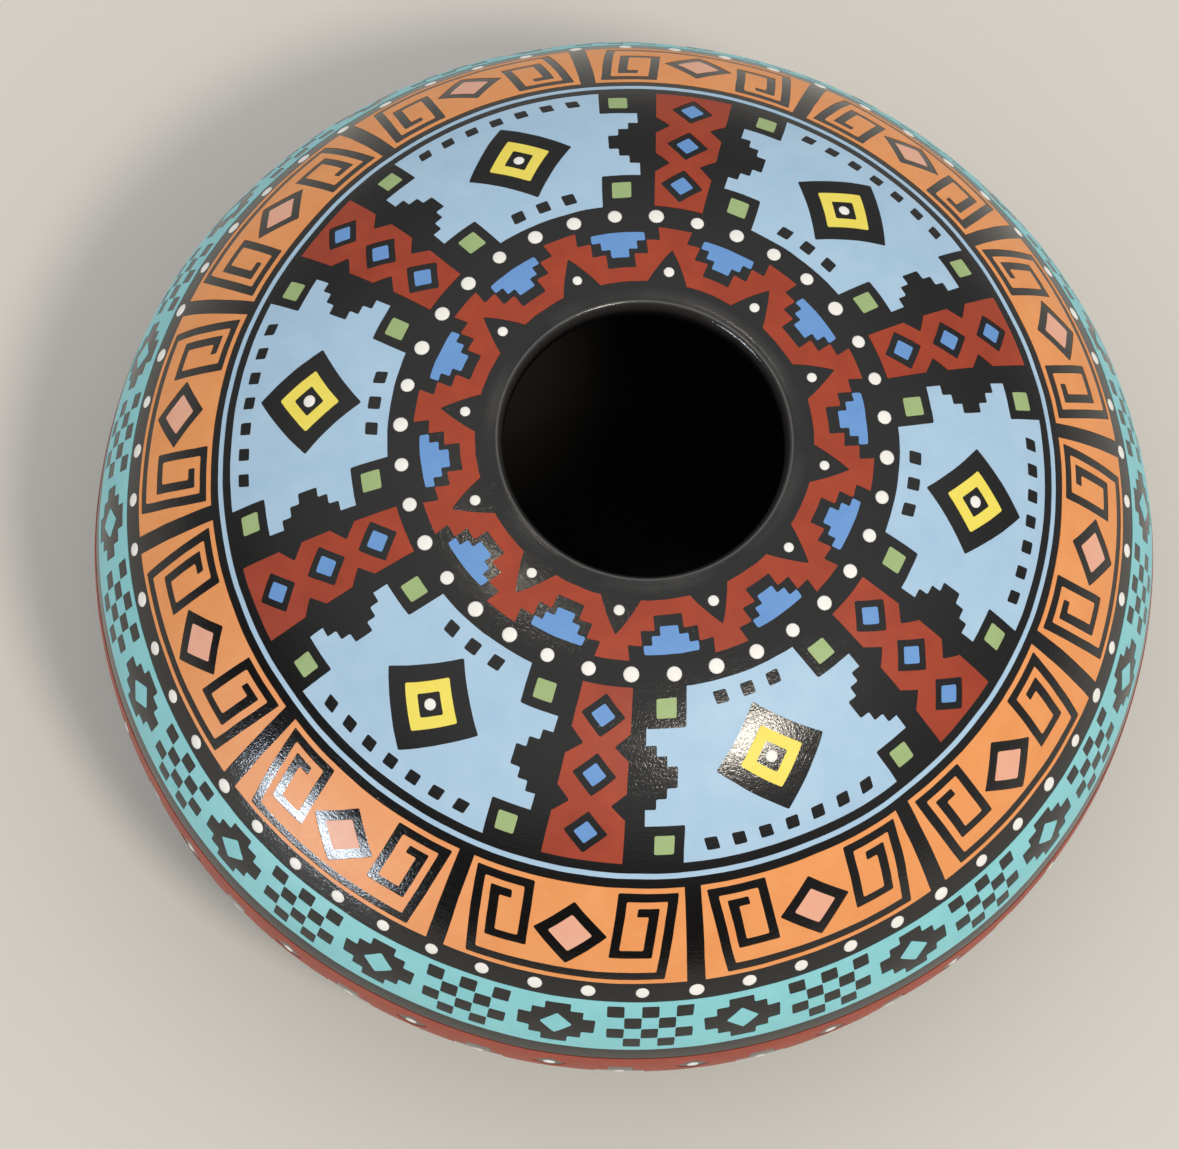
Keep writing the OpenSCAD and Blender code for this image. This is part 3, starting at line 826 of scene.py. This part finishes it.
rows_of_dots, given = new_tree("rows_of_dots", {"Dot Height": "Float", "Seed": "Int"} | placing_sockets)
tree = rows_of_dots
laying = {label: given[label] for label in laying_sockets} | {"Geometry": given["Geometry"]}
places = add(tree, "GeometryNodeGroup", laying, node_tree=lay_on_wall).outputs[0]
facing = add(tree, "GeometryNodeInputNamedAttribute", normal_name, data_type="FLOAT_VECTOR").outputs[0]
upright = add(tree, "FunctionNodeAlignRotationToVector", {"Vector": facing}, axis="Z").outputs[0]
wide = add(tree, "GeometryNodeInputNamedAttribute", {"Name": "diameter"}, data_type="FLOAT").outputs[0]
heap = add(tree, "GeometryNodeMeshUVSphere", {"Segments": 14, "Rings": 6, "Radius": 0.5}).outputs[0]
luck = {2: smallest, 3: largest, "Seed": given["Seed"]}
luck = add(tree, "FunctionNodeRandomValue", luck, data_type="FLOAT").outputs[1]
breadth = add(tree, "ShaderNodeMath", {0: wide, 1: luck}, operation="MULTIPLY").outputs[0]
tall = add(tree, "ShaderNodeMath", {0: given["Dot Height"], 1: 2.0}, operation="MULTIPLY").outputs[0]
size = add(tree, "ShaderNodeCombineXYZ", {"X": breadth, "Y": breadth, "Z": tall}).outputs[0]
heaps = {"Points": places, "Instance": heap, "Rotation": upright, "Scale": size}
heaps = add(tree, "GeometryNodeInstanceOnPoints", heaps).outputs[0]
heaps = add(tree, "GeometryNodeRealizeInstances", {0: heaps}).outputs[0]
shaping = {label: given[label] for label in shaping_sockets} | {"Geometry": heaps}
heaps = add(tree, "GeometryNodeGroup", shaping, node_tree=hand_shaping).outputs[0]
finish_tree(tree, heaps, given["Material"])

white = matte_paint("white_matte_paint", "#FBFAF7", "#F3F1EB")
dot_values |= shaping_values | laying_values | {"Material": white}
piece = grown("dots_of_white", dot_places, rows_of_dots, dot_values)
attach(piece, "root")
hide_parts("paint_white")
bpy.data.objects.remove(wall_line)

# Floor, light and camera. A plain floor of pale matte paper under an even sky. A lamp overhead with its
# glow, a small far lamp, a low window and a room that is darker towards the front give the polish something
# to mirror. The camera stands at the photograph's angle, high above the pot and turned a little.
floor_half = 3.0
paper_roughness = 0.9
floor_corners = [(x, y, 0) for x, y in box(-floor_half, floor_half, -floor_half, floor_half)]
floor_mesh = bpy.data.meshes.new("studio_floor")
floor_mesh.from_pydata(floor_corners, [], [(0, 1, 2, 3)])
studio_floor = bpy.data.objects.new("studio_floor", floor_mesh)
bpy.context.scene.collection.objects.link(studio_floor)
paper = bpy.data.materials.new("pale_paper")
paper.use_nodes = True
paper_surface = paper.node_tree.nodes["Principled BSDF"]
paper_surface.inputs["Base Color"].default_value = linear("#DFDCD6")
paper_surface.inputs["Roughness"].default_value = paper_roughness
floor_mesh.materials.append(paper)

# The sky has one level for all but the polish, which mirrors the room: its ceiling, its walls and its front.
sky_level, ceiling_level, wall_level, front_level = 0.68, 0.80, 0.38, 0.05
ceiling_from, ceiling_full = 0.25, 0.9
front_from, front_full = 0.1, 0.8
room_front = (-0.37, -0.93, 0)
sky = bpy.data.worlds.new("studio_sky")
bpy.context.scene.world = sky
sky.use_nodes = True
tree = sky.node_tree
toward = add(tree, "ShaderNodeTexCoord").outputs["Generated"]
height = add(tree, "ShaderNodeSeparateXYZ", {0: toward}).outputs["Z"]
ceiling = {"Value": height, "From Min": ceiling_from, "From Max": ceiling_full}
ceiling = add(tree, "ShaderNodeMapRange", ceiling, interpolation_type="SMOOTHSTEP").outputs[0]
frontal = {0: toward, 1: room_front}
frontal = add(tree, "ShaderNodeVectorMath", frontal, operation="DOT_PRODUCT").outputs["Value"]
walls = {"Value": frontal, "From Min": front_from, "From Max": front_full}
walls |= {"To Min": wall_level, "To Max": front_level}
walls = add(tree, "ShaderNodeMapRange", walls, interpolation_type="SMOOTHSTEP").outputs[0]
room = add(tree, "ShaderNodeMix", {"Factor": ceiling, 2: walls, 3: ceiling_level}).outputs[0]
polish = add(tree, "ShaderNodeLightPath").outputs["Is Glossy Ray"]
light_level = add(tree, "ShaderNodeMix", {"Factor": polish, 2: sky_level, 3: room}).outputs[0]
tree.links.new(light_level, tree.nodes["Background"].inputs["Strength"])
tree.nodes["Background"].inputs["Color"].default_value = linear("#FFFFFF")


def area_light(name, toward, distance, size, watts, colour, shape="ELLIPSE", lights_paint=False):
    """A flat light that faces the pot from a direction. The camera sees it only in the polish."""
    light = bpy.data.objects.new(name, bpy.data.lights.new(name, "AREA"))
    light.data.shape = shape
    light.data.size, light.data.size_y = size
    light.data.energy = watts
    light.data.color = linear(colour)[:3]
    toward = Vector(toward).normalized()
    light.location = Vector((0, 0, belly_z)) + toward * distance
    light.rotation_euler = toward.to_track_quat("Z", "Y").to_euler()
    light.visible_camera = False
    light.visible_diffuse = lights_paint
    bpy.context.scene.collection.objects.link(light)


lamp_toward, lamp_colour = (0.345, -0.373, 0.861), "#FFF6E6"
area_light("lamp", lamp_toward, 2.0, (0.34, 0.34), watts=13.5, colour=lamp_colour, lights_paint=True)
area_light("lamp_glow", lamp_toward, 2.05, (0.56, 0.56), watts=3.5, colour=lamp_colour)
area_light("far_lamp", (-0.147, 0.113, 0.983), 2.0, (0.09, 0.09), watts=1.5, colour="#FFF3DC")
area_light(
    "window", (-0.68, -0.73, 0.052), 1.8, (0.74, 0.26), watts=22.0, colour="#EAF4FF", shape="RECTANGLE"
)

# The belly's size and place in the picture set the lens and the aim.
image_w, image_h = 1179, 1149
camera_elevation, camera_roll = math.radians(72.3), math.radians(-8.6)
camera_distance = 7 * belly_r
belly_px = 526.3
belly_at = (625.7, 544.4)
level = Vector((1, 0, 0))
over = Vector((0, math.sin(camera_elevation), math.cos(camera_elevation)))
back = Vector((0, -math.cos(camera_elevation), math.sin(camera_elevation)))
camera_side = level * math.cos(camera_roll) - over * math.sin(camera_roll)
camera_over = level * math.sin(camera_roll) + over * math.cos(camera_roll)
metres_per_px = belly_r / belly_px
camera = bpy.data.objects.new("camera", bpy.data.cameras.new("camera"))
camera.data.sensor_width = 36.0
camera.data.lens = camera.data.sensor_width * camera_distance / metres_per_px / image_w
camera.matrix_world = Matrix((camera_side, camera_over, back)).transposed().to_4x4()
camera.location = (
    Vector((0, 0, belly_z))
    + back * camera_distance
    - camera_side * (belly_at[0] - image_w / 2) * metres_per_px
    + camera_over * (belly_at[1] - image_h / 2) * metres_per_px
)
bpy.context.scene.collection.objects.link(camera)
bpy.context.scene.camera = camera
bpy.context.scene.view_settings.view_transform = "Standard"
